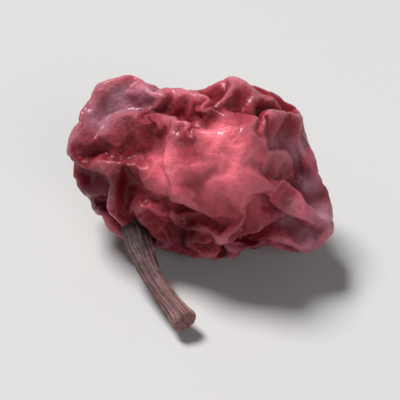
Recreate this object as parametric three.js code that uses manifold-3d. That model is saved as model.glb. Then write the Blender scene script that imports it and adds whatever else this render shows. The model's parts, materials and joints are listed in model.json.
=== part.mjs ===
// A dried schisandra berry on a short piece of its woody stalk.
// A fresh berry is a plump round fruit with two kidney-shaped seeds. As it dries, its flesh goes and the skin
// is too wide for what is left, so it sinks onto the seeds and the pulp and buckles into rounded folds.
// The berry is made that way here: a fresh skin that keeps its lengths is drawn in until it lies in folds.
// Millimetres, +Z up, standing on z = 0 on a small flat of its lowest folds. The shown side faces -Y.
import * as THREE from "three";
import { mergeVertices } from "three/addons/utils/BufferGeometryUtils.js";
import Module from "manifold-3d";

const { clamp, degToRad, lerp } = THREE.MathUtils;

// Overall size
const BERRY_BREADTH = 8.0; // along X, over the fold of loose skin
const FLAT_DEPTH = 0.25; // what the resting flat takes off the underside

// The shown side is looked at from this height above the level. Places on it are given as seen from there,
// in mm to the right and up from the berry's middle, on a ball of this radius.
const SEEN_ELEVATION = degToRad(37);
const SEEN_RADIUS = 3.4;

// What the skin dries onto: the two seeds and the pulp below them, each a bent ellipsoid
const MAIN_SEED = { middle: [0.75, -0.57, 0.62], half: [1.84, 1.67, 1.75], bend: 0.06 };
const LEFT_SEED = { middle: [-1.73, 0.6, 0.39], half: [1.2, 1.55, 1.4], bend: -0.06 };
const PULP = { middle: [-0.2, 0.3, -0.68], half: [2.34, 1.93, 1.35], bend: 0 };
const FLESH_BLEND = 0.8; // how softly the flesh fills the clefts between the three
const FLESH_DEPTH = 0.3; // left over the seeds
const FLESH_LUMPS = { depth: 0.14, waves: [1.7, 1.9, 1.8], starts: [0.6, 1.1, 2.0] };
const SEED_COAT = 0.12; // the least that the skin keeps above a seed

// The skin
const FRESH_HALF = [4.1, 3.7, 3.75]; // half sizes of the fresh berry
const SKIN_KEEPS = 0.92; // the share of its lengths that the skin keeps as it dries
const TAUT_SKIN = { at: seen(1.0, 0.35), reach: 0.44, keeps: 0.81 }; // smoother, over the main seed
const SKIN_GAP = 0.5; // two stretches of skin come no closer than this

// Folds of loose skin that stand out, and hollows where the flesh is gone. Reach is an angle in radians.
const STANDING_FOLDS = [
  // the loose flap down the right side, which stands out most at its lower corner
  {
    path: [seen(2.86, 1.21), seen(3.24, 0.22), seen(3.3, -0.8), seen(2.87, -1.38), seen(2.76, -2.11)],
    heights: [0.08, 0.19, 1.23, 2.15, 2.69],
    reach: 0.15,
  },
  // the rim of the left lobe
  {
    path: [seen(-3.2, 0.6), seen(-2.7, 1.9), seen(-2.0, 2.6), seen(-1.3, 2.6)],
    heights: [0.56, 0.55, 0.33, 0.21],
    reach: 0.15,
  },
  // the ridge down the main bulge
  {
    path: [seen(0.4, 2.3), seen(0.8, 1.4), seen(1.1, 0.5), seen(0.9, -0.6)],
    heights: [0.1, 0.35, 0.35, 0.1],
    reach: 0.12,
  },
  // the lower ridge beside the hollow
  { path: [seen(-1.0, 1.6), seen(-0.9, 0.2), seen(-0.7, -1.0)], heights: [0.3, 0.5, 0.3], reach: 0.11 },
  // the rounded top of the main bulge
  { path: [seen(0.8, 0.8), seen(1.1, -0.3)], heights: [0.4, 0.4], reach: 0.33 },
];
const HOLLOWS = [
  { at: seen(-2.23, -0.38), reach: 0.25, depth: 2.34 }, // below the left lobe
  { at: seen(0.94, -2.53), reach: 0.3, depth: 2.17 }, // under the main bulge
  { at: seen(0.93, -3.2), reach: 0.24, depth: 1.71 },
  { at: seen(0.5, 1.9), reach: 0.1, depth: 0.8 }, // the crease at the bulge's top
  { at: seen(2.5, 0.0), reach: 0.1, depth: 0.7 }, // the valley between the bulge and the flap
  { at: seen(2.2, -1.2), reach: 0.1, depth: 0.7 },
  { at: seen(3.14, 0.98), reach: 0.22, depth: 1.24 }, // above the flap
  { at: facing(85, 15), reach: 0.36, depth: 0.75 }, // between the two seeds, at the back
];

// The skin dries in rounds, each on a mesh twice as fine as the last, so that wide folds come first.
// Pull is the furthest that it sinks in a step, bending is how stiff it is against a sharp bend, gap is how
// close two stretches of it come, and noise is how uneven it is at the start.
const FIRST_DIVISIONS = 4;
const DRYING_ROUNDS = [
  { steps: 200, pull: 0.06, bending: 0.06, gap: 0.9, noise: 0.16 },
  { steps: 260, pull: 0.035, bending: 0.2, gap: 0.7, noise: 0.04 },
  { steps: 200, pull: 0.018, bending: 0.4, gap: SKIN_GAP, noise: 0.01 },
];
const SINKING = 0.06; // the share of the way to the flesh that the skin sinks in a step
const LENGTH_PASSES = 4;
const STRETCH_SHARE = 0.5; // how much of a stretch, and of a squeeze, one pass takes back
const SQUEEZE_SHARE = 0.4;
const PARTING_SHARE = 0.35;
const NEIGHBOUR_REACH = 1.6; // skin that was closer than this many gaps when fresh is never pushed apart
const ROUNDING = { passes: 2, share: 0.35 }; // takes the edge off the last folds
const WRINKLE_SEED = 482;

// The stalk: its route, from inside the berry to the cut end, counted from the ground under the middle of
// the berry, and its radius along the way
const STALK_ROUTE = [[-2.05, -1.3, 1.5], [-1.5, -2.85, 0.95], [-0.4, -4.62, 0.55]];
const STALK_PROFILE = [
  [0, 0.36],
  [0.22, 0.4],
  [0.34, 0.34],
  [0.6, 0.27],
  [0.86, 0.29],
  [0.97, 0.36],
  [1, 0.33],
]; // share of the way along, radius
const STALK_RINGS = 22;
const STALK_SIDES = 20;
const STALK_RIDGES = { count: 5, depth: 0.07 };
const SOCKET_GAP = 0.03; // between the stalk and the berry that holds it

const BERRY_COLOUR = 0x7d2a35;
const STALK_COLOUR = 0x8a6142;

// The direction, from the middle, of a place seen on the shown side.
function seen(right, up) {
  const towards = Math.sqrt(Math.max(SEEN_RADIUS ** 2 - right ** 2 - up ** 2, 0));
  const cos = Math.cos(SEEN_ELEVATION);
  const sin = Math.sin(SEEN_ELEVATION);
  return new THREE.Vector3(right, up * sin - towards * cos, up * cos + towards * sin).normalize();
}

// A direction by its compass angle (0 is +X, 90 is +Y) and its height above the level, in degrees.
function facing(compass, height) {
  const round = degToRad(compass);
  const rise = degToRad(height);
  return new THREE.Vector3(Math.cos(round), Math.sin(round), Math.tan(rise)).normalize();
}

// Repeatable random numbers from 0 to 1.
function randomFrom(seed) {
  let state = seed >>> 0;
  return () => {
    state = (state + 0x6d2b79f5) >>> 0;
    let mixed = Math.imul(state ^ (state >>> 15), state | 1);
    mixed ^= mixed + Math.imul(mixed ^ (mixed >>> 7), mixed | 61);
    return ((mixed ^ (mixed >>> 14)) >>> 0) / 4294967296;
  };
}

// How far a place is outside one seed, in mm, and less than 0 inside it.
function outsideSeed(px, py, pz, { middle, half, bend }) {
  const x = px - middle[0];
  const y = py - middle[1] - bend * x * x;
  const z = pz - middle[2];
  const whole = Math.hypot(x / half[0], y / half[1], z / half[2]);
  const slope = Math.hypot(x / half[0] ** 2, y / half[1] ** 2, z / half[2] ** 2);
  return slope > 0 ? (whole * (whole - 1)) / slope : -Math.min(...half);
}

// The lesser of two distances, with a soft change from one to the other.
function blended(a, b, softness) {
  const share = clamp(0.5 + (0.5 * (b - a)) / softness, 0, 1);
  return lerp(b, a, share) - softness * share * (1 - share);
}

function outsideSeedCoats(x, y, z) {
  return Math.min(outsideSeed(x, y, z, MAIN_SEED), outsideSeed(x, y, z, LEFT_SEED)) - SEED_COAT;
}

function fleshLump(x, y, z) {
  const { depth, waves, starts } = FLESH_LUMPS;
  return depth * [x, y, z].reduce((swell, at, axis) => swell * Math.sin(waves[axis] * at + starts[axis]), 1);
}

function outsideFlesh(x, y, z) {
  const seeds = blended(outsideSeed(x, y, z, MAIN_SEED), outsideSeed(x, y, z, LEFT_SEED), FLESH_BLEND);
  return blended(seeds, outsideSeed(x, y, z, PULP), FLESH_BLEND) - FLESH_DEPTH - fleshLump(x, y, z);
}

// How high a standing fold holds the skin off the flesh at a direction.
function standingAt(direction, { path, heights, reach }) {
  let nearest = { away: Infinity, height: 0 };
  for (let i = 0; i + 1 < path.length; i++) {
    const step = path[i + 1].clone().sub(path[i]);
    const share = clamp(direction.clone().sub(path[i]).dot(step) / step.lengthSq(), 0, 1);
    const away = path[i].clone().addScaledVector(step, share).distanceTo(direction);
    if (away < nearest.away) nearest = { away, height: lerp(heights[i], heights[i + 1], share) };
  }
  return nearest.height * fading(nearest.away, reach);
}

function fading(away, reach) {
  return Math.exp(-((away / reach) ** 2));
}

// The height over the flesh that the skin settles at: below 0 in a hollow.
function settledHeight(direction) {
  let height = 0;
  for (const { at, reach, depth } of HOLLOWS) height -= depth * fading(direction.angleTo(at), reach);
  for (const fold of STANDING_FOLDS) height = Math.max(height, standingAt(direction, fold));
  return height;
}

function skinKept(direction) {
  return lerp(SKIN_KEEPS, TAUT_SKIN.keeps, fading(direction.angleTo(TAUT_SKIN.at), TAUT_SKIN.reach));
}

function onFreshBerry(direction) {
  const [a, b, c] = FRESH_HALF;
  return direction.clone().divideScalar(Math.hypot(direction.x / a, direction.y / b, direction.z / c));
}

// A geometry with one vertex at each corner, whatever the faces that meet there.
const SAME_PLACE = 1e-5;
function welded(geometry) {
  geometry.deleteAttribute("normal");
  geometry.deleteAttribute("uv");
  return mergeVertices(geometry, SAME_PLACE);
}

// The coarsest skin: directions from the middle, and the faces between them.
function roundSkin(divisions) {
  const ball = welded(new THREE.IcosahedronGeometry(1, divisions));
  const places = ball.getAttribute("position");
  const directions = [];
  for (let i = 0; i < places.count; i++) {
    directions.push(new THREE.Vector3().fromBufferAttribute(places, i).normalize());
  }
  const faces = [];
  for (let i = 0; i < ball.index.count; i += 3) faces.push([...ball.index.array.slice(i, i + 3)]);
  return { directions, faces };
}

const MOST_VERTICES = 100000;
function edgeKey(a, b) {
  return Math.min(a, b) * MOST_VERTICES + Math.max(a, b);
}

// Every edge, with its two ends and the far corner of each of its two faces.
function edgesOf(faces) {
  const edges = new Map();
  for (const face of faces) {
    face.forEach((a, corner) => {
      const b = face[(corner + 1) % 3];
      const key = edgeKey(a, b);
      if (!edges.has(key)) edges.set(key, { a, b, wings: [] });
      edges.get(key).wings.push(face[(corner + 2) % 3]);
    });
  }
  return edges;
}

function neighboursOf(edges, count) {
  const around = Array.from({ length: count }, () => []);
  for (const { a, b } of edges.values()) {
    around[a].push(b);
    around[b].push(a);
  }
  return around;
}

// Loop subdivision: four smoother faces for each one.
function refined(points, faces) {
  const edges = edgesOf(faces);
  const around = neighboursOf(edges, points.length);
  const finer = points.map((point, i) => {
    const count = around[i].length;
    const share = (5 / 8 - (3 / 8 + Math.cos((2 * Math.PI) / count) / 4) ** 2) / count;
    const moved = point.clone().multiplyScalar(1 - count * share);
    for (const j of around[i]) moved.addScaledVector(points[j], share);
    return moved;
  });
  const middles = new Map();
  for (const [key, { a, b, wings }] of edges) {
    middles.set(key, finer.length);
    const middle = points[a].clone().add(points[b]).multiplyScalar(3 / 8);
    finer.push(middle.addScaledVector(points[wings[0]], 1 / 8).addScaledVector(points[wings[1]], 1 / 8));
  }
  const split = faces.flatMap(([a, b, c]) => {
    const ab = middles.get(edgeKey(a, b));
    const bc = middles.get(edgeKey(b, c));
    const ca = middles.get(edgeKey(c, a));
    return [[a, ab, ca], [ab, b, bc], [ca, bc, c], [ab, bc, ca]];
  });
  return { points: finer, faces: split };
}

// The next functions work on one flat array, at, with x, y and z of every vertex in turn.

function flatArray(points) {
  return Float64Array.from(points.flatMap((point) => point.toArray()));
}

function pointsOf(at) {
  return Array.from({ length: at.length / 3 }, (_, i) => new THREE.Vector3().fromArray(at, 3 * i));
}

// Moves two vertices along the line between them: share is counted from the first to the second.
function draw(at, i, j, share) {
  for (let axis = 0; axis < 3; axis++) {
    const move = (at[3 * j + axis] - at[3 * i + axis]) * share;
    at[3 * i + axis] += move;
    at[3 * j + axis] -= move;
  }
}

function gapBetween(at, i, j) {
  return Math.hypot(at[3 * j] - at[3 * i], at[3 * j + 1] - at[3 * i + 1], at[3 * j + 2] - at[3 * i + 2]);
}

// The skin sinks towards the height that it settles at, and never into a seed.
const PROBE = 1e-3;
function sink(at, settled, pull) {
  settled.forEach((height, i) => {
    const [x, y, z] = at.subarray(3 * i, 3 * i + 3);
    const here = outsideFlesh(x, y, z);
    const slopes = [
      outsideFlesh(x + PROBE, y, z) - here,
      outsideFlesh(x, y + PROBE, z) - here,
      outsideFlesh(x, y, z + PROBE) - here,
    ];
    const wanted = clamp((height - here) * SINKING, -pull, pull);
    const move = Math.max(wanted, -outsideSeedCoats(x, y, z)) / Math.hypot(...slopes);
    slopes.forEach((slope, axis) => {
      at[3 * i + axis] += slope * move;
    });
  });
}

// How far each vertex is from the middle of its neighbours.
function bulgesOf(at, around) {
  const bulges = new Float64Array(at.length);
  around.forEach((ring, i) => {
    for (let axis = 0; axis < 3; axis++) {
      let sum = 0;
      for (const j of ring) sum += at[3 * j + axis];
      bulges[3 * i + axis] = sum / ring.length - at[3 * i + axis];
    }
  });
  return bulges;
}

// The skin resists a sharp bend.
function unbend(at, around, bending) {
  bulgesOf(bulgesOf(at, around), around).forEach((change, k) => {
    at[k] -= bending * change;
  });
}

function keepLengths(at, edges) {
  for (const { a, b, length } of edges) {
    const now = gapBetween(at, a, b);
    const share = now > length ? STRETCH_SHARE : SQUEEZE_SHARE;
    draw(at, a, b, (share * (now - length)) / now);
  }
}

// Two stretches of skin that lie closer than the gap part again. The vertices near one are looked up by the
// cube of space that each is in.
const CUBES_ACROSS = 200;
const BESIDE = [-1, 0, 1];
const CUBES_AROUND = BESIDE.flatMap((dw) => BESIDE.flatMap((dv) => BESIDE.map((du) => [du, dv, dw])));
function cubeKey(u, v, w) {
  return (u * CUBES_ACROSS + v) * CUBES_ACROSS + w;
}
function keepApart(at, fresh, gap) {
  const cubes = new Map();
  const near = (NEIGHBOUR_REACH * gap) ** 2;
  const part = (i, j) => {
    const now = gapBetween(at, i, j);
    if (now < gap && fresh[i].distanceToSquared(fresh[j]) >= near) {
      draw(at, i, j, (PARTING_SHARE * (now - gap)) / now);
    }
  };
  for (let i = 0; i < fresh.length; i++) {
    const u = Math.floor(at[3 * i] / gap);
    const v = Math.floor(at[3 * i + 1] / gap);
    const w = Math.floor(at[3 * i + 2] / gap);
    for (const [du, dv, dw] of CUBES_AROUND) {
      for (const j of cubes.get(cubeKey(u + du, v + dv, w + dw)) ?? []) part(i, j);
    }
    const key = cubeKey(u, v, w);
    if (!cubes.has(key)) cubes.set(key, []);
    cubes.get(key).push(i);
  }
}

// One round of drying, from the points that the skin is at to those that it comes to lie at.
function dried(points, faces, directions, { steps, pull, bending, gap, noise }, random) {
  const edges = edgesOf(faces);
  const around = neighboursOf(edges, points.length);
  const fresh = directions.map(onFreshBerry);
  const kept = directions.map(skinKept);
  const settled = directions.map(settledHeight);
  const lengths = [...edges.values()].map(({ a, b }) => {
    return { a, b, length: (fresh[a].distanceTo(fresh[b]) * (kept[a] + kept[b])) / 2 };
  });
  const at = flatArray(points.map((point) => point.clone().multiplyScalar(1 + noise * (random() - 0.5))));
  for (let step = 0; step < steps; step++) {
    sink(at, settled, pull);
    unbend(at, around, bending);
    for (let pass = 0; pass < LENGTH_PASSES; pass++) keepLengths(at, lengths);
    keepApart(at, fresh, gap);
  }
  return pointsOf(at);
}

function rounded(points, faces) {
  const around = neighboursOf(edgesOf(faces), points.length);
  const at = flatArray(points);
  for (let pass = 0; pass < ROUNDING.passes; pass++) {
    bulgesOf(at, around).forEach((change, k) => {
      at[k] += ROUNDING.share * change;
    });
  }
  return pointsOf(at);
}

function driedSkin() {
  const random = randomFrom(WRINKLE_SEED);
  let { directions, faces } = roundSkin(FIRST_DIVISIONS);
  let points = directions.map(onFreshBerry);
  DRYING_ROUNDS.forEach((round, i) => {
    if (i > 0) {
      directions = refined(directions, faces).points.map((direction) => direction.normalize());
      ({ points, faces } = refined(points, faces));
    }
    points = dried(points, faces, directions, round, random);
  });
  const skin = new THREE.BufferGeometry().setFromPoints(rounded(points, faces));
  skin.setIndex(faces.flat());
  return skin;
}

// Sets a geometry to its breadth, with its middle over the origin and its foot below the ground by the flat.
function placed(geometry) {
  geometry.computeBoundingBox();
  const size = geometry.boundingBox.getSize(new THREE.Vector3());
  const middle = geometry.boundingBox.getCenter(new THREE.Vector3());
  geometry.translate(-middle.x, -middle.y, -geometry.boundingBox.min.z);
  const scale = BERRY_BREADTH / size.x;
  return geometry.scale(scale, scale, scale).translate(0, 0, -FLAT_DEPTH);
}

// Half the outline of the straight stalk, from the axis at its foot to the axis at its cut end.
function stalkOutline(length, swelling) {
  const marks = STALK_PROFILE.map(([share, radius]) => new THREE.Vector2(radius + swelling, share * length));
  const outline = new THREE.SplineCurve(marks).getPoints(STALK_RINGS);
  outline[0].y -= swelling;
  outline[STALK_RINGS].y += swelling;
  return [new THREE.Vector2(0, outline[0].y), ...outline, new THREE.Vector2(0, outline[STALK_RINGS].y)];
}

// The stalk is turned as a straight rod up the Y axis, ridged, and then laid along its route.
function stalkGeometry(swelling) {
  const route = new THREE.CatmullRomCurve3(STALK_ROUTE.map((place) => new THREE.Vector3(...place)));
  const length = route.getLength();
  const rod = welded(new THREE.LatheGeometry(stalkOutline(length, swelling), STALK_SIDES));
  const places = rod.getAttribute("position");
  for (let i = 0; i < places.count; i++) {
    const x = places.getX(i);
    const z = places.getZ(i);
    const ridge = 1 + STALK_RIDGES.depth * Math.cos(STALK_RIDGES.count * Math.atan2(x, z));
    const along = clamp(places.getY(i) / length, 0, 1);
    const forwards = route.getTangentAt(along);
    const sideways = forwards.clone().cross(new THREE.Vector3(0, 0, 1)).normalize();
    const upwards = sideways.clone().cross(forwards);
    const place = route.getPointAt(along).addScaledVector(forwards, places.getY(i) - along * length);
    place.addScaledVector(sideways, x * ridge).addScaledVector(upwards, z * ridge);
    places.setXYZ(i, ...place);
  }
  return rod;
}

const wasm = await Module();
wasm.setup();

function solidOf(geometry) {
  const vertProperties = new Float32Array(geometry.getAttribute("position").array);
  const triVerts = new Uint32Array(geometry.index.array);
  return new wasm.Manifold(new wasm.Mesh({ numProp: 3, vertProperties, triVerts }));
}

function geometryOf(solid) {
  const { vertProperties, triVerts } = solid.getMesh();
  const geometry = new THREE.BufferGeometry();
  geometry.setAttribute("position", new THREE.BufferAttribute(vertProperties, 3));
  geometry.setIndex(new THREE.BufferAttribute(triVerts, 1));
  geometry.computeVertexNormals();
  return geometry;
}

// The main body of a solid, without the scraps that a cut leaves.
function mainBody(solid) {
  return solid.decompose().reduce((most, body) => (body.volume() > most.volume() ? body : most));
}

// What the ground takes off: a block under z = 0.
function groundGeometry() {
  const width = 2 * BERRY_BREADTH;
  return welded(new THREE.BoxGeometry(width, width, BERRY_BREADTH)).translate(0, 0, -BERRY_BREADTH / 2);
}

function berryMesh() {
  const skin = solidOf(placed(driedSkin()));
  const standing = skin.subtract(solidOf(groundGeometry())).subtract(solidOf(stalkGeometry(SOCKET_GAP)));
  const material = new THREE.MeshStandardMaterial({ color: BERRY_COLOUR, roughness: 0.5, metalness: 0 });
  const berry = new THREE.Mesh(geometryOf(mainBody(standing)), material);
  berry.name = "berry";
  return berry;
}

function stalkMesh() {
  const material = new THREE.MeshStandardMaterial({ color: STALK_COLOUR, roughness: 0.8, metalness: 0 });
  const stalk = new THREE.Mesh(geometryOf(solidOf(stalkGeometry(0))), material);
  stalk.name = "stalk";
  return stalk;
}

// The origin is under the middle of the whole, on the ground.
const part = new THREE.Group();
part.add(berryMesh(), stalkMesh());
const middle = new THREE.Box3().setFromObject(part).getCenter(new THREE.Vector3());
part.children.forEach((piece) => piece.position.set(-middle.x, -middle.y, 0));

export default part;
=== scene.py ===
"""A dried schisandra berry: its wrinkled skin, its stalk's bark, and a plain stage to see it on."""

import json
import math

import bpy
import numpy as np
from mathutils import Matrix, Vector

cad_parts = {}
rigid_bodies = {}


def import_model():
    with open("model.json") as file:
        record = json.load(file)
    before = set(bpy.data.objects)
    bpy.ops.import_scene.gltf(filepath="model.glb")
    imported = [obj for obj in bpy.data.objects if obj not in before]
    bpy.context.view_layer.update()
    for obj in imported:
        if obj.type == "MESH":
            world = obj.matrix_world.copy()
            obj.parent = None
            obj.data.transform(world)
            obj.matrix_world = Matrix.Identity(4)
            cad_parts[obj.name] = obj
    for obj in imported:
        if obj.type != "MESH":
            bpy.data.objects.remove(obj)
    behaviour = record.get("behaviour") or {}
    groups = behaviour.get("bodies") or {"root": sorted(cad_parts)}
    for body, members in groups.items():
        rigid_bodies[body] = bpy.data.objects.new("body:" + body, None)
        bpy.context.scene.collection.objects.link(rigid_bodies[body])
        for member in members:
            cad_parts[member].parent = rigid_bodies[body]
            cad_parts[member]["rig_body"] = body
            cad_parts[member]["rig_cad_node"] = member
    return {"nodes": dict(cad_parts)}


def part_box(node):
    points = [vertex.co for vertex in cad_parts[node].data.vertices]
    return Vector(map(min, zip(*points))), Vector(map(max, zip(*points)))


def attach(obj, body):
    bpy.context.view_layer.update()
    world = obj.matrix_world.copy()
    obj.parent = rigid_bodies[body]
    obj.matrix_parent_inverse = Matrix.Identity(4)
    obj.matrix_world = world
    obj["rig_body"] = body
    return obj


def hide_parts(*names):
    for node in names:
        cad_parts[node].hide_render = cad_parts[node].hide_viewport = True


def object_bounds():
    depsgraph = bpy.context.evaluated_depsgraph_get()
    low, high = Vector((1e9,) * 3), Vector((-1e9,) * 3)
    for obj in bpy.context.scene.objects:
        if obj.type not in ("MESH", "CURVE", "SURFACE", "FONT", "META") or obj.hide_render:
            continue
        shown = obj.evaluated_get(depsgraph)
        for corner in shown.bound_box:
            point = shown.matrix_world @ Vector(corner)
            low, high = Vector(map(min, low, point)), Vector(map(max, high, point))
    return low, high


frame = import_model()
CAD_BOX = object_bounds()

bl_info = {
    "name": "Dried Schisandra Berry",
    "version": (1, 0, 0),
    "blender": (4, 5, 0),
    "location": "3D Viewport > Sidebar > Schisandra",
    "description": "Makes a dried schisandra berry's wrinkled skin, its stalk's bark and its stage",
    "category": "Object",
}

MM = 0.001
BODY = "root"

# Vertices of the CAD triangles that lie nearer to each other than this become one
SAME_PLACE = 0.03 * MM

# The berry as the frame holds it
BERRY_LOW, BERRY_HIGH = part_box("berry")
BERRY_MIDDLE = (BERRY_LOW + BERRY_HIGH) / 2
BERRY_BREADTH = BERRY_HIGH.x - BERRY_LOW.x
STALK_LOW, STALK_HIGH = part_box("stalk")

# The shown side is looked at from this height above the level, and places on it are counted, as seen from
# there, in millimetres right and up of the middle of its outline
SEEN_ELEVATION = math.radians(37)
SEEN_MIDDLE = BERRY_MIDDLE + Vector((-0.1, 0, -0.36)) * MM
TOWARDS_VIEW = Vector((0, -math.cos(SEEN_ELEVATION), math.sin(SEEN_ELEVATION)))

# What is left of a patch on skin that faces sideways, and how fast it fades towards the far side
PATCH_SIDEWAYS = 0.6
PATCH_FADE = 1.2

# Patches of the skin on the shown side, some of them carrying painted light: millimetres right and up, and
# how far each reaches
# Thin clear skin over the seeds, which also carries painted highlights at the dome's top and left of the
# dome
THIN_SKIN_AND_HIGHLIGHTS = (
    (0.9, 0.1, 1.15),
    (0.6, 1.1, 0.6),
    (-1.0, -0.1, 0.75),
)
# Dry skin with its bloom, which also carries a painted sheen on the rims of the left lobe and of the right
# flap
DRY_SKIN_AND_SHEEN = (
    (-3.1, 1.8, 0.6),
    (-2.5, 2.3, 0.7),
    (-1.6, 2.5, 0.5),
    (3.1, 0.7, 0.4),
    (3.6, -0.3, 0.4),
    (3.9, -1.3, 0.5),
    (3.5, -2.2, 0.5),
)
# Thick dark skin, partly painted shade: the hollow and the pit at the left, a crease on the dome's top,
# and the underside along the bottom of the shown side
THICK_SKIN_AND_SHADE = (
    (-2.4, -0.3, 0.9),
    (0.45, 1.75, 0.32),
    (-0.4, -1.8, 0.7),
    (-1.9, -2.1, 0.7),
    (-3.5, -0.3, 0.9),
    (1.6, -2.3, 0.6),
)

# A painted highlight left of the dome, coloured like thin skin, and spots partly of dry bloom and partly
# of painted sheen, none of them made taut
HIGHLIGHT_SPOTS = ((-1.0, 0.35, 0.5),)
DULL_SPOTS = (
    (2.5, 0.7, 0.5),
    (2.9, -1.3, 0.5),
)
DULL_SHARE = 0.5

# Where the flesh fills the folds under the skin: millimetres right and up, and how far each reaches
FILLED_FOLDS = (
    (-1.7, 0.8, 0.95),
    (0.85, 0.2, 1.0),
)

# Where the flesh under the skin is fuller: the same, and how far it stands out
FULL_FLESH = (
    (-1.15, 0.1, 0.6, 0.4),
    (0.9, 0.3, 1.0, 0.2),
)

# Folds are found by how far the skin lies below itself smoothed this often, as a share of this depth,
# less what is too shallow to count
FOLD_ROUNDS = 60
FOLD_DEPTH = 0.25 * MM
SHALLOW_SHARE = 0.3

# The skin is held at the foot: from this height down, and fully once it is lower by the fade. In folds and
# near the stalk, within this reach, it is held less
FOOT_HEIGHT = 0.45 * MM
FOOT_FADE = 0.35 * MM
STALK_REACH = 1.4 * MM
LESSER_HOLD = 0.6

# How taut dry skin is next to thin skin, and what taut skin and deep folds lack of the finest wrinkles
DRY_TAUTNESS = 0.8
TAUT_CALM = 0.7

# The skin is simulated at this many times its size, because cloth is made for sizes near a metre
SIMULATION_SCALE = 100
SIMULATION_FRAMES = 20

# How the skin behaves as cloth, besides its stiffness against bending
CLOTH = {
    "quality": 5,
    "mass": 0.3,
    "tension_stiffness": 40,
    "compression_stiffness": 40,
    "shear_stiffness": 20,
    "tension_damping": 5,
    "compression_damping": 5,
    "shear_damping": 5,
    "bending_damping": 0.5,
    "air_damping": 1,
    "pin_stiffness": 0.3,
}

# Swells are broad and ridges are narrow: the height of each that counts as 1, and how often the surface is
# smoothed to measure them
SWELL_HEIGHT = 0.35 * MM
SWELL_ROUNDS = 90
RIDGE_HEIGHT = 0.03 * MM
RIDGE_ROUNDS = 12

# Breadths of the skin's unevenness of colour and relief, from the broadest down, and depths of its relief
BLOTCH_SIZE = 1.6 * MM
MOTTLE_SIZE = 0.35 * MM
CREASE_SIZE = 0.3 * MM
PORE_SIZE = 0.07 * MM
DENT_DEPTH = 0.03 * MM
CREASE_DEPTH = 0.028 * MM
PORE_DEPTH = 0.012 * MM

# The bark's grooves: how many go round, and how far they turn on the way, in radians
GROOVES = ((7, 2.5), (12, -4.0), (19, 6.0))

# How many rings the stalk's middle is found by, and how slowly its fibres change along it next to round it
STALK_RINGS = 24
FIBRE_STRETCH = 0.12

# The lumps of the bark: their breadth, and their height as a share of the grooves' depth
BARK_LUMP_SIZE = 0.15 * MM
BARK_LUMP_SHARE = 0.6

# Breadths of the bark's mottling and of its fibres, and how deep the fibres stand out
BARK_MOTTLE_SIZE = 0.3 * MM
FIBRE_SIZE = 0.07 * MM
FIBRE_DEPTH = 0.03 * MM

# How far light spreads inside the skin and inside the bark
SKIN_GLOW = 0.45 * MM
BARK_GLOW = 0.3 * MM

# The floor's breadth in metres, and the breadth and depth of the slow changes of its tone
FLOOR_SIZE = 4
FLOOR_TONE_SIZE = 40 * MM
FLOOR_SHADE = 0.97

# The directions that the lights shine from, and how wide an angle each takes up
KEY_DIRECTION = Vector((-0.6, 0.4, 1.5))
KEY_SOFTNESS = math.radians(20)
KEY_COLOUR = (1, 0.985, 0.96)
FRONT_DIRECTION = Vector((0.8, -1.6, 1.0))
FRONT_SOFTNESS = math.radians(30)
FRONT_SHARE = 0.18

# How high up the backdrop starts and ends to fade, as the height of a direction of length 1
BACKDROP_HEIGHT = 0.06
BACKDROP_END = 0.18
SKY_COLOUR = (0.97, 0.98, 1.0, 1)

# How far below the middle the camera aims, as a share of the berry's breadth
AIM_BELOW = 0.1

# How near and how far the camera sees, next to its distance from the berry
SIGHT_START = 0.05
SIGHT_END = 400


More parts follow.
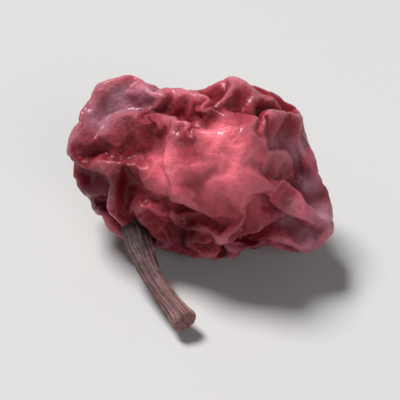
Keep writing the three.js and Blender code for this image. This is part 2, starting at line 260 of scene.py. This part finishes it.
class SkinSettings(bpy.types.PropertyGroup):
    """Sizes and colours of the berry's skin."""

    loose_share: bpy.props.FloatProperty(
        name="Loose Skin",
        description="How much wider the skin is than what it lies on, where it is loosest",
        default=0.2,
        min=0,
        max=0.5,
        subtype="FACTOR",
    )
    taut_share: bpy.props.FloatProperty(
        name="Taut Skin",
        description="How much wider the skin is than what it lies on, where it is tightest",
        default=0.05,
        min=0,
        max=0.5,
        subtype="FACTOR",
    )
    stiffness: bpy.props.FloatProperty(
        name="Stiffness",
        description="How much the skin resists bending, which makes its wrinkles wider",
        default=8.0,
        min=0,
        max=20,
    )
    clinging: bpy.props.FloatProperty(
        name="Clinging",
        description="How firmly the skin is held by the flesh under it",
        default=0.2,
        min=0,
        max=1,
        subtype="FACTOR",
    )
    lump_size: bpy.props.FloatProperty(
        name="Lump Size",
        description="Breadth of the small lumps of dried flesh under the skin",
        default=0.5 * MM,
        unit="LENGTH",
        precision=6,
    )
    lump_height: bpy.props.FloatProperty(
        name="Lump Height",
        description="Height of the small lumps of dried flesh under the skin",
        default=0.1 * MM,
        unit="LENGTH",
        precision=6,
    )
    filling: bpy.props.IntProperty(
        name="Filling",
        description="How often the folds that flesh fills are smoothed",
        default=160,
        min=0,
        max=500,
    )
    smoothing: bpy.props.IntProperty(
        name="Smoothing",
        description="How often the skin over the seeds and on the dry rims is smoothed",
        default=2,
        min=0,
        max=100,
    )
    deep_smoothing: bpy.props.IntProperty(
        name="Deep Smoothing",
        description="How often the skin deep in the folds is smoothed",
        default=16,
        min=0,
        max=100,
    )
    fine_size: bpy.props.FloatProperty(
        name="Fine Wrinkle Size",
        description="Breadth of the finest wrinkles",
        default=0.22 * MM,
        unit="LENGTH",
        precision=6,
    )
    fine_height: bpy.props.FloatProperty(
        name="Fine Wrinkle Height",
        description="Height of the finest wrinkles",
        default=0.07 * MM,
        unit="LENGTH",
        precision=6,
    )
    body_colour: bpy.props.FloatVectorProperty(
        name="Body Colour",
        description="The skin between ridges and folds",
        default=(0.25, 0.022, 0.034),
        min=0,
        max=1,
        subtype="COLOR",
    )
    # Also the colour of the painted highlights, and of the painted light where the skin swells out
    bright_skin_and_highlight_colour: bpy.props.FloatVectorProperty(
        name="Bright Colour",
        description="The thin clear skin over the seeds",
        default=(0.93, 0.2, 0.26),
        min=0,
        max=1,
        subtype="COLOR",
    )
    # Also the painted shade in the folds, the creases and the thick patches
    dark_skin_and_shade_colour: bpy.props.FloatVectorProperty(
        name="Fold Colour",
        description="The thick dark skin in the folds",
        default=(0.08, 0.0015, 0.004),
        min=0,
        max=1,
        subtype="COLOR",
    )
    # Also the painted sheen on the crests and rims
    bloom_and_sheen_colour: bpy.props.FloatVectorProperty(
        name="Bloom Colour",
        description="The dry greyish bloom on the ridges",
        default=(0.45, 0.2, 0.26),
        min=0,
        max=1,
        subtype="COLOR",
    )


class StalkSettings(bpy.types.PropertyGroup):
    """Sizes and colours of the stalk."""

    bark_depth: bpy.props.FloatProperty(
        name="Bark Depth",
        description="Depth of the lengthwise ridges of the dried bark",
        default=0.05 * MM,
        unit="LENGTH",
        precision=6,
    )
    # Also the painted shade in the grooves
    dark_bark_and_groove_shade: bpy.props.FloatVectorProperty(
        name="Dark Bark",
        description="The bark next to the berry",
        default=(0.03, 0.014, 0.014),
        min=0,
        max=1,
        subtype="COLOR",
    )
    pale_bark: bpy.props.FloatVectorProperty(
        name="Pale Bark",
        description="The bark towards the cut end",
        default=(0.25, 0.115, 0.11),
        min=0,
        max=1,
        subtype="COLOR",
    )


class StageSettings(bpy.types.PropertyGroup):
    """The camera, the light and the floor."""

    lens: bpy.props.FloatProperty(
        name="Lens", description="Focal length of the camera", default=0.1, unit="LENGTH"
    )
    filled_share: bpy.props.FloatProperty(
        name="Filled Share",
        description="The share of the picture's width that the berry takes",
        default=0.66,
        min=0.1,
        max=0.95,
        subtype="FACTOR",
    )
    floor_colour: bpy.props.FloatVectorProperty(
        name="Floor Colour",
        description="The plain pale floor",
        default=(0.52, 0.52, 0.525),
        min=0,
        max=1,
        subtype="COLOR",
    )
    key_strength: bpy.props.FloatProperty(
        name="Key Light", description="Strength of the soft light above the berry", default=4.2
    )
    fill_strength: bpy.props.FloatProperty(
        name="Fill Light", description="Strength of the even light from above", default=0.13
    )
    backdrop_strength: bpy.props.FloatProperty(
        name="Backdrop Light", description="Strength of the even light near the level", default=0.72
    )


def deselect_all():
    bpy.ops.object.select_all(action="DESELECT")


def choose(piece):
    """Makes a piece the only selected one."""
    deselect_all()
    piece.select_set(True)
    bpy.context.view_layer.objects.active = piece


def copy_of_node(node, name):
    """A copy of a CAD node with its loose triangles merged into one surface."""
    choose(frame["nodes"][node])
    bpy.ops.object.duplicate()
    piece = bpy.context.object
    piece.name = name
    piece.parent = None
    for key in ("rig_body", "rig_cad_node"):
        del piece[key]
    bpy.ops.object.mode_set(mode="EDIT")
    bpy.ops.mesh.select_all(action="SELECT")
    bpy.ops.mesh.remove_doubles(threshold=SAME_PLACE)
    bpy.ops.object.mode_set(mode="OBJECT")
    bpy.ops.object.shade_smooth()
    piece.data.materials.clear()
    return piece


def add_modifier(piece, kind, **values):
    """Adds a modifier of this kind, with these values of its settings."""
    choose(piece)
    bpy.ops.object.modifier_add(type=kind)
    modifier = piece.modifiers[-1]
    for key, value in values.items():
        setattr(modifier, key, value)
    return modifier


def apply_modifier(piece, modifier):
    choose(piece)
    bpy.ops.object.modifier_apply(modifier=modifier.name)


def subdivide(piece, levels):
    """Splits each face in four, smoothly, once for each level."""
    apply_modifier(piece, add_modifier(piece, "SUBSURF", levels=levels, render_levels=levels))


def resize(piece, times):
    """Makes the mesh this many times its size, about the origin."""
    choose(piece)
    piece.scale = (times, times, times)
    bpy.ops.object.transform_apply(location=False, rotation=False, scale=True)


def places_of(piece):
    """The place of each vertex, in metres, a row for each."""
    flat = np.empty(3 * len(piece.data.vertices), np.float32)
    piece.data.vertices.foreach_get("co", flat)
    return flat.reshape(-1, 3).astype(float)


def normals_of(piece):
    """The direction out of the surface at each vertex, a row for each."""
    flat = np.empty(3 * len(piece.data.vertices), np.float32)
    piece.data.vertex_normals.foreach_get("vector", flat)
    return flat.reshape(-1, 3).astype(float)


def edges_of(piece):
    """The two vertices of each edge, a row for each."""
    flat = np.empty(2 * len(piece.data.edges), np.int32)
    piece.data.edges.foreach_get("vertices", flat)
    return flat.reshape(-1, 2)


def add_group(piece, name, weights):
    """Keeps one share for each vertex, for the modifiers to read."""
    group = piece.vertex_groups.new(name=name)
    for index, weight in enumerate(weights):
        group.add([index], float(weight), "REPLACE")


def store(piece, name, values):
    """Keeps one number for each vertex, for the material to read."""
    attribute = piece.data.attributes.new(name, "FLOAT", "POINT")
    attribute.data.foreach_set("value", np.asarray(values, np.float32))


def near(places, middle, reach):
    """1 at a place, fading to 0 away from it."""
    away = np.linalg.norm(places - np.array(middle), axis=1)
    return np.exp(-((away / reach) ** 2))


def softened(places, edges, rounds):
    """Each place drawn towards its neighbours' middle, again and again."""
    count = len(places)
    ends = np.concatenate([edges, edges[:, ::-1]])
    valence = np.bincount(ends[:, 0], minlength=count)
    soft = places.copy()
    for _ in range(rounds):
        for axis in range(3):
            around = np.bincount(ends[:, 0], weights=soft[ends[:, 1], axis], minlength=count)
            soft[:, axis] = 0.5 * soft[:, axis] + 0.5 * around / valence
    return soft


def patches(piece, spots):
    """1 in the patches of the shown side, fading to 0 round them and towards the far side."""
    away = places_of(piece) - np.array(SEEN_MIDDLE)
    right = away[:, 0] / MM
    up = (away[:, 1] * math.sin(SEEN_ELEVATION) + away[:, 2] * math.cos(SEEN_ELEVATION)) / MM
    share = np.zeros(len(away))
    for spot_right, spot_up, reach in spots:
        share = np.maximum(share, np.exp(-((right - spot_right) ** 2 + (up - spot_up) ** 2) / reach**2))
    outwards = normals_of(piece) @ np.array(TOWARDS_VIEW)
    return share * np.clip(PATCH_SIDEWAYS + PATCH_FADE * outwards, 0, 1)


def push_out(piece, heights):
    """Moves each vertex outwards, along its normal."""
    places = places_of(piece) + normals_of(piece) * np.asarray(heights)[:, None]
    piece.data.vertices.foreach_set("co", places.astype(np.float32).ravel())
    piece.data.update()


def height_over(piece, rounds):
    """How far each vertex stands out of the softened surface: above 0 on ridges, below 0 in folds."""
    places = places_of(piece)
    lift = places - softened(places, edges_of(piece), rounds)
    return np.einsum("ij,ij->i", lift, normals_of(piece))


def smooth(piece, group, rounds):
    """Smooths the surface this often, as far as the group says."""
    apply_modifier(piece, add_modifier(piece, "SMOOTH", factor=0.5, iterations=rounds, vertex_group=group))


def roughen(piece, name, size, height, group=""):
    """Moves the surface out and in by lumps of this size, where the group lets it."""
    lumps = bpy.data.textures.new(name, "CLOUDS")
    lumps.noise_scale = size
    lumps.noise_depth = 1
    values = {"texture_coords": "LOCAL", "strength": height, "mid_level": 0.5, "vertex_group": group}
    apply_modifier(piece, add_modifier(piece, "DISPLACE", texture=lumps, **values))


def lay_on_flesh(piece, skin):
    """Fills the skin with flesh, raises small lumps, and says where it is held and where it is loose."""
    add_group(piece, "filled", patches(piece, FILLED_FOLDS))
    smooth(piece, "filled", skin.filling)
    for right, up, reach, height in FULL_FLESH:
        push_out(piece, height * MM * patches(piece, [(right, up, reach)]))
    places = places_of(piece)
    flat_foot = np.clip((FOOT_HEIGHT - places[:, 2]) / FOOT_FADE, 0, 1)
    at_stalk = near(places, (STALK_LOW + STALK_HIGH) / 2, STALK_REACH)
    deep = np.clip(-height_over(piece, FOLD_ROUNDS) / FOLD_DEPTH - SHALLOW_SHARE, 0, 1)
    firm = np.maximum(flat_foot, LESSER_HOLD * np.maximum(at_stalk, deep))
    held = skin.clinging + (1 - skin.clinging) * firm
    taut = np.maximum(patches(piece, THIN_SKIN_AND_HIGHLIGHTS), DRY_TAUTNESS * patches(piece, DRY_SKIN_AND_SHEEN))
    add_group(piece, "held", held)
    add_group(piece, "free", 1 - flat_foot)
    add_group(piece, "deep", deep)
    add_group(piece, "taut", np.maximum(taut, deep))
    add_group(piece, "loose", 1 - TAUT_CALM * np.maximum(taut, deep))
    roughen(piece, "flesh_lumps", skin.lump_size, skin.lump_height, "free")


def fit_to_berry(piece):
    """Draws the wrinkled skin back to the berry's own length, width and height."""
    places = places_of(piece)
    low = places.min(axis=0)
    share = (places - low) / (places.max(axis=0) - low)
    fitted = np.array(BERRY_LOW) + share * np.array(BERRY_HIGH - BERRY_LOW)
    piece.data.vertices.foreach_set("co", fitted.astype(np.float32).ravel())
    piece.data.update()


def buckle(piece, skin):
    """Lets the skin, too wide for the flesh, buckle into wrinkles as cloth."""
    resize(piece, SIMULATION_SCALE)
    cloth = add_modifier(piece, "CLOTH")
    settings = cloth.settings
    for key, value in CLOTH.items():
        setattr(settings, key, value)
    settings.bending_stiffness = skin.stiffness
    settings.vertex_group_mass = "held"
    settings.vertex_group_shrink = "taut"
    settings.shrink_max = -skin.taut_share
    settings.shrink_min = -skin.loose_share
    settings.effector_weights.gravity = 0
    cloth.collision_settings.use_collision = False
    cloth.collision_settings.use_self_collision = False
    cloth.point_cache.frame_start = 1
    cloth.point_cache.frame_end = SIMULATION_FRAMES
    scene = bpy.context.scene
    for number in range(1, SIMULATION_FRAMES + 1):
        scene.frame_set(number)
    apply_modifier(piece, cloth)
    scene.frame_set(1)
    resize(piece, 1 / SIMULATION_SCALE)


def store_skin_kinds(piece):
    """Keeps where the skin swells out; where it is thin, with the painted highlights; where it is dry,
    with the painted sheen; and where it is thick, with painted shade.
    """
    store(piece, "swell", height_over(piece, SWELL_ROUNDS) / SWELL_HEIGHT)
    store(piece, "thin_and_highlight", patches(piece, THIN_SKIN_AND_HIGHLIGHTS + HIGHLIGHT_SPOTS))
    store(piece, "dry_and_sheen", np.maximum(patches(piece, DRY_SKIN_AND_SHEEN), DULL_SHARE * patches(piece, DULL_SPOTS)))
    store(piece, "thick_and_shade", patches(piece, THICK_SKIN_AND_SHADE))


def centre_line(places, along):
    """The middle of the stalk next to each place, found from the middles of its rings."""
    ring = np.clip((along * STALK_RINGS).astype(int), 0, STALK_RINGS - 1)
    count = np.maximum(np.bincount(ring, minlength=STALK_RINGS), 1)
    middle = np.stack([np.bincount(ring, places[:, axis], STALK_RINGS) / count for axis in range(3)], 1)
    marks = (np.arange(STALK_RINGS) + 0.5) / STALK_RINGS
    return np.stack([np.interp(along, marks[count > 1], middle[count > 1, axis]) for axis in range(3)], 1)


def groove_bark(piece, stalk):
    """Cuts lengthwise grooves into the bark, and keeps how each place lies along and round the stalk."""
    places = places_of(piece)
    base = np.array((STALK_LOW.x, STALK_HIGH.y, STALK_HIGH.z))
    tip = np.array((STALK_HIGH.x, STALK_LOW.y, STALK_LOW.z))
    way = tip - base
    along = (places - base) @ way / (way @ way)
    forwards = way / np.linalg.norm(way)
    sideways = np.cross(forwards, (0, 0, 1))
    sideways /= np.linalg.norm(sideways)
    upwards = np.cross(sideways, forwards)
    out = places - centre_line(places, along)
    angle = np.arctan2(out @ upwards, out @ sideways)
    groove = np.zeros(len(places))
    for number, turn in GROOVES:
        groove += np.cos(number * angle + turn * along) / len(GROOVES)
    push_out(piece, groove * stalk.bark_depth)
    store(piece, "along", along)
    store(piece, "groove", groove)
    lay = piece.data.attributes.new("lay", "FLOAT_VECTOR", "POINT")
    straight = np.stack([FIBRE_STRETCH * (places @ forwards), places @ sideways, places @ upwards], 1)
    lay.data.foreach_set("vector", straight.astype(np.float32).ravel())


class Nodes:
    """Adds and links the nodes of one material."""

    def __init__(self, name):
        self.material = bpy.data.materials.new(name)
        self.material.use_nodes = True
        self.tree = self.material.node_tree
        self.shader = self.tree.nodes["Principled BSDF"]

    def add(self, kind, inputs=(), **values):
        """Adds a node of this kind, with these inputs and values of its settings."""
        node = self.tree.nodes.new(kind)
        for key, value in values.items():
            setattr(node, key, value)
        self.fill(node, dict(inputs))
        return node

    def fill(self, node, inputs):
        """Links or sets each of a node's named inputs."""
        for key, value in inputs.items():
            self.put(node.inputs[key], value)

    def put(self, socket, value):
        """Links a socket to another, or sets its value."""
        if isinstance(value, bpy.types.NodeSocket):
            self.tree.links.new(value, socket)
        elif socket.type == "RGBA" and len(value) == 3:
            socket.default_value = (*value, 1)
        else:
            socket.default_value = value

    def attribute(self, name, output="Fac"):
        """What the mesh keeps under this name."""
        return self.add("ShaderNodeAttribute", attribute_name=name).outputs[output]

    def noise(self, size, detail=3, roughness=0.55, place=None):
        """Noise whose lumps are about this large, in metres."""
        if place is None:
            place = self.add("ShaderNodeTexCoord").outputs["Object"]
        inputs = {"Vector": place, "Scale": 1 / size, "Detail": detail, "Roughness": roughness}
        return self.add("ShaderNodeTexNoise", inputs).outputs["Fac"]

    def between(self, value, low, high, to_low=0.0, to_high=1.0):
        """A value's way from low to high, as one from to_low to to_high."""
        inputs = {"Value": value, "From Min": low, "From Max": high, "To Min": to_low, "To Max": to_high}
        return self.add("ShaderNodeMapRange", inputs, clamp=True).outputs["Result"]

    def math(self, operation, a, b=0.0):
        """One or two values added, multiplied or compared, as the operation says."""
        return self.add("ShaderNodeMath", {0: a, 1: b}, operation=operation).outputs[0]

    def mixed(self, share, a, b):
        """Colour a at a share of 0, and colour b at a share of 1."""
        inputs = {"Factor": share, "A": a, "B": b}
        return self.add("ShaderNodeMix", inputs, data_type="RGBA").outputs["Result"]

    def bump(self, height, strength, distance, normal=None):
        """Relief of this height, on top of the relief that the normal holds."""
        inputs = {"Height": height, "Strength": strength, "Distance": distance}
        if normal is not None:
            inputs["Normal"] = normal
        return self.add("ShaderNodeBump", inputs).outputs["Normal"]


def skin_bloom_and_sheen(nodes, swell, ridge, mottle):
    """Where the dry bloom and a painted sheen lie: all over the dry rims, and on crests, but hardly on
    thin or thick skin.
    """
    thin_and_highlight = nodes.attribute("thin_and_highlight")
    thick_and_shade = nodes.attribute("thick_and_shade")
    # The crests get the bloom and a painted sheen, as of light glancing off them
    broad_crest = nodes.between(nodes.math("ADD", swell, nodes.math("MULTIPLY", mottle, 0.5)), 0.5, 1.3)
    crest = nodes.math("MAXIMUM", broad_crest, nodes.between(ridge, 0.7, 2.4, 0, 0.8))
    crest = nodes.math("MULTIPLY", crest, nodes.between(thin_and_highlight, 0, 1, 0.65, 0.15))
    crest = nodes.math("MULTIPLY", crest, nodes.between(thick_and_shade, 0, 1, 1, 0.1))
    # The dry rims get the bloom and a painted sheen
    dry_and_sheen = nodes.math("MULTIPLY", nodes.attribute("dry_and_sheen"), nodes.between(mottle, 0.3, 0.7, 1, 0.6))
    return nodes.math("MAXIMUM", crest, dry_and_sheen)


def skin_colour(nodes, skin, swell, ridge, mottle):
    """Bright where the skin is thin, with the painted highlights there, and in random blotches where it
    swells out, lighter there as painted light; dark in random mottling, and with painted shade in the deep
    folds, the narrow creases and the thick patches, which are partly thick skin.
    """
    blotches = nodes.between(nodes.noise(BLOTCH_SIZE, detail=2), 0.45, 0.7, 0, 0.6)
    # Painted light: the random blotches show only where the skin swells out, lighter there as if lit
    swell_lit_blotches = nodes.math("MULTIPLY", nodes.between(swell, -0.3, 0.6), blotches)
    clear = nodes.math("MAXIMUM", swell_lit_blotches, nodes.attribute("thin_and_highlight"))
    colour = nodes.mixed(clear, skin.body_colour, skin.bright_skin_and_highlight_colour)
    colour = nodes.mixed(nodes.between(mottle, 0.4, 0.8, 0, 0.3), colour, skin.dark_skin_and_shade_colour)
    thick_and_shade = nodes.math("MULTIPLY", nodes.attribute("thick_and_shade"), 0.92)
    # Painted shade: darker in the deep folds and on the thick patches
    deep = nodes.math("MAXIMUM", nodes.between(swell, 0.1, -0.9, 0, 0.9), thick_and_shade)
    colour = nodes.mixed(deep, colour, skin.dark_skin_and_shade_colour)
    # Painted shade in the narrow creases
    return nodes.mixed(nodes.between(ridge, 0, -1.8, 0, 0.6), colour, skin.dark_skin_and_shade_colour)


def skin_relief(nodes, mottle):
    """Pores, fine creases and shallow dents, each on top of the last."""
    pores = nodes.bump(nodes.noise(PORE_SIZE), 0.4, PORE_DEPTH)
    waves = nodes.math("SUBTRACT", nodes.noise(CREASE_SIZE, detail=2), 0.5)
    lines = nodes.between(nodes.math("ABSOLUTE", waves), 0, 0.12)
    creases = nodes.bump(lines, 0.42, CREASE_DEPTH, pores)
    return nodes.bump(mottle, 0.35, DENT_DEPTH, creases)


def skin_material(skin):
    """Red flesh under a glossy skin, which dry bloom and a painted sheen dull, with painted highlights and
    painted shade in its colour.
    """
    nodes = Nodes("schisandra_skin")
    swell = nodes.attribute("swell")
    ridge = nodes.attribute("ridge")
    mottle = nodes.noise(MOTTLE_SIZE, detail=4)
    bloom_and_sheen = skin_bloom_and_sheen(nodes, swell, ridge, mottle)
    colour = nodes.mixed(bloom_and_sheen, skin_colour(nodes, skin, swell, ridge, mottle), skin.bloom_and_sheen_colour)
    rough = nodes.between(mottle, 0.3, 0.7, 0.26, 0.42)
    rough = nodes.math("ADD", rough, nodes.math("MULTIPLY", bloom_and_sheen, 0.12))
    rough = nodes.math("ADD", rough, nodes.between(swell, 0, -1, 0, 0.2))
    inputs = {
        "Base Color": colour,
        "Roughness": rough,
        "Normal": skin_relief(nodes, mottle),
        "Subsurface Weight": 0.4,
        "Subsurface Radius": (1, 0.2, 0.18),
        "Subsurface Scale": SKIN_GLOW,
        "IOR": 1.4,
        "Specular IOR Level": 0.18,
        "Specular Tint": (1, 0.65, 0.7),
        "Coat Weight": 0.16,
        "Coat Roughness": 0.12,
    }
    nodes.fill(nodes.shader, inputs)
    return nodes.material


def bark_material(stalk):
    """Fibrous bark, dark by the berry, with painted shade in its grooves, and paler towards the cut end.
    """
    nodes = Nodes("stalk_bark")
    along = nodes.attribute("along")
    groove = nodes.attribute("groove")
    lay = nodes.attribute("lay", "Vector")
    fibres = nodes.noise(FIBRE_SIZE, detail=4, place=lay)
    mottle = nodes.noise(BARK_MOTTLE_SIZE)
    streaks = nodes.math("ADD", along, nodes.between(fibres, 0.3, 0.7, -0.2, 0.2))
    streaks = nodes.math("ADD", streaks, nodes.between(mottle, 0.3, 0.7, -0.25, 0.15))
    colour = nodes.mixed(nodes.between(streaks, 0.1, 0.95), stalk.dark_bark_and_groove_shade, stalk.pale_bark)
    # Painted shade in the grooves
    colour = nodes.mixed(nodes.between(groove, 0.3, -1.0, 0, 0.85), colour, stalk.dark_bark_and_groove_shade)
    inputs = {
        "Base Color": colour,
        "Roughness": nodes.between(fibres, 0.3, 0.7, 0.55, 0.8),
        "Normal": nodes.bump(fibres, 0.6, FIBRE_DEPTH),
        "Subsurface Weight": 0.08,
        "Subsurface Scale": BARK_GLOW,
    }
    nodes.fill(nodes.shader, inputs)
    return nodes.material


def floor_material(stage):
    """A plain dull surface whose tone changes slowly and little."""
    nodes = Nodes("pale_floor")
    tone = nodes.between(nodes.noise(FLOOR_TONE_SIZE, detail=1), 0.3, 0.7)
    shaded = tuple(FLOOR_SHADE * part for part in stage.floor_colour)
    inputs = {"Base Color": nodes.mixed(tone, stage.floor_colour, shaded), "Roughness": 0.7}
    nodes.fill(nodes.shader, inputs)
    return nodes.material


class SCHISANDRA_OT_add_skin(bpy.types.Operator):
    """Lay the wrinkled skin over the berry"""

    bl_idname = "schisandra.add_skin"
    bl_label = "Add Berry Skin"
    bl_options = {"REGISTER", "UNDO"}

    def execute(self, context):
        skin = context.scene.schisandra_skin
        piece = copy_of_node("berry", "berry_skin")
        subdivide(piece, 1)
        lay_on_flesh(piece, skin)
        buckle(piece, skin)
        smooth(piece, "taut", skin.smoothing)
        smooth(piece, "deep", skin.deep_smoothing)
        store_skin_kinds(piece)
        subdivide(piece, 1)
        roughen(piece, "fine_wrinkles", skin.fine_size, skin.fine_height, "loose")
        fit_to_berry(piece)
        store(piece, "ridge", height_over(piece, RIDGE_ROUNDS) / RIDGE_HEIGHT)
        piece.vertex_groups.clear()
        piece.data.materials.append(skin_material(skin))
        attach(piece, BODY)
        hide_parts("berry")
        return {"FINISHED"}


class SCHISANDRA_OT_add_stalk(bpy.types.Operator):
    """Give the stalk its ridged bark"""

    bl_idname = "schisandra.add_stalk"
    bl_label = "Add Stalk"
    bl_options = {"REGISTER", "UNDO"}

    def execute(self, context):
        stalk = context.scene.schisandra_stalk
        piece = copy_of_node("stalk", "stalk_bark")
        subdivide(piece, 2)
        groove_bark(piece, stalk)
        roughen(piece, "bark_lumps", BARK_LUMP_SIZE, BARK_LUMP_SHARE * stalk.bark_depth)
        piece.data.materials.append(bark_material(stalk))
        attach(piece, BODY)
        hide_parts("stalk")
        return {"FINISHED"}


def add_floor(stage):
    """A wide plain floor at the berry's foot."""
    deselect_all()
    bpy.ops.mesh.primitive_plane_add(size=FLOOR_SIZE, location=(0, 0, 0))
    floor = bpy.context.object
    floor.name = "floor"
    floor.data.materials.append(floor_material(stage))


def add_light(name, direction, strength, softness, colour=(1, 1, 1)):
    """A soft light from far off in a direction, as wide as the angle of its softness."""
    light = bpy.data.lights.new(name, "SUN")
    light.energy = strength
    light.angle = softness
    light.color = colour
    lamp = bpy.data.objects.new(name, light)
    lamp.rotation_euler = direction.to_track_quat("Z", "Y").to_euler()
    bpy.context.scene.collection.objects.link(lamp)


def add_even_light(stage):
    """Even light from all round, palest near the level, where it is the backdrop behind the floor."""
    world = bpy.data.worlds.new("studio")
    world.use_nodes = True
    nodes, links = world.node_tree.nodes, world.node_tree.links
    direction = nodes.new("ShaderNodeTexCoord")
    split = nodes.new("ShaderNodeSeparateXYZ")
    fade = nodes.new("ShaderNodeMapRange")
    fade.inputs["From Min"].default_value = BACKDROP_HEIGHT
    fade.inputs["From Max"].default_value = BACKDROP_END
    fade.inputs["To Min"].default_value = stage.backdrop_strength
    fade.inputs["To Max"].default_value = stage.fill_strength
    links.new(direction.outputs["Generated"], split.inputs["Vector"])
    links.new(split.outputs["Z"], fade.inputs["Value"])
    links.new(fade.outputs["Result"], nodes["Background"].inputs["Strength"])
    nodes["Background"].inputs["Color"].default_value = SKY_COLOUR
    bpy.context.scene.world = world


def add_camera(stage):
    """Looks down on the berry as the photograph does, with the berry filling its share of the picture."""
    camera = bpy.data.cameras.new("camera")
    camera.lens = stage.lens / MM
    distance = BERRY_BREADTH / stage.filled_share * camera.lens / camera.sensor_width
    camera.clip_start = SIGHT_START * distance
    camera.clip_end = SIGHT_END * distance
    low, high = CAD_BOX
    aim = (low + high) / 2 + Vector((0, 0, -AIM_BELOW * BERRY_BREADTH))
    holder = bpy.data.objects.new("camera", camera)
    holder.location = aim + TOWARDS_VIEW * distance
    holder.rotation_euler = (-TOWARDS_VIEW).to_track_quat("-Z", "Y").to_euler()
    bpy.context.scene.collection.objects.link(holder)
    bpy.context.scene.camera = holder


class SCHISANDRA_OT_set_stage(bpy.types.Operator):
    """Set the floor, the lights and the camera"""

    bl_idname = "schisandra.set_stage"
    bl_label = "Set Stage"
    bl_options = {"REGISTER", "UNDO"}

    def execute(self, context):
        stage = context.scene.schisandra_stage
        add_floor(stage)
        add_even_light(stage)
        add_light("key", KEY_DIRECTION, stage.key_strength, KEY_SOFTNESS, KEY_COLOUR)
        add_light("front", FRONT_DIRECTION, FRONT_SHARE * stage.key_strength, FRONT_SOFTNESS)
        add_camera(stage)
        context.scene.view_settings.view_transform = "Standard"
        return {"FINISHED"}


class SCHISANDRA_PT_sidebar(bpy.types.Panel):
    """Lists what makes the dried berry"""

    bl_idname = "SCHISANDRA_PT_sidebar"
    bl_label = "Dried Schisandra Berry"
    bl_space_type = "VIEW_3D"
    bl_region_type = "UI"
    bl_category = "Schisandra"

    def draw(self, context):
        scene = context.scene
        for operator, settings in (
            (SCHISANDRA_OT_add_skin, scene.schisandra_skin),
            (SCHISANDRA_OT_add_stalk, scene.schisandra_stalk),
            (SCHISANDRA_OT_set_stage, scene.schisandra_stage),
        ):
            box = self.layout.box()
            box.operator(operator.bl_idname)
            for name in settings.__annotations__:
                box.prop(settings, name)


CLASSES = (
    SkinSettings,
    StalkSettings,
    StageSettings,
    SCHISANDRA_OT_add_skin,
    SCHISANDRA_OT_add_stalk,
    SCHISANDRA_OT_set_stage,
    SCHISANDRA_PT_sidebar,
)


def register():
    for cls in CLASSES:
        bpy.utils.register_class(cls)
    bpy.types.Scene.schisandra_skin = bpy.props.PointerProperty(type=SkinSettings)
    bpy.types.Scene.schisandra_stalk = bpy.props.PointerProperty(type=StalkSettings)
    bpy.types.Scene.schisandra_stage = bpy.props.PointerProperty(type=StageSettings)


def unregister():
    del bpy.types.Scene.schisandra_stage
    del bpy.types.Scene.schisandra_stalk
    del bpy.types.Scene.schisandra_skin
    for cls in reversed(CLASSES):
        bpy.utils.unregister_class(cls)


def main():
    register()
    bpy.ops.schisandra.add_skin()
    bpy.ops.schisandra.add_stalk()
    bpy.ops.schisandra.set_stage()


if __name__ == "__main__":
    main()
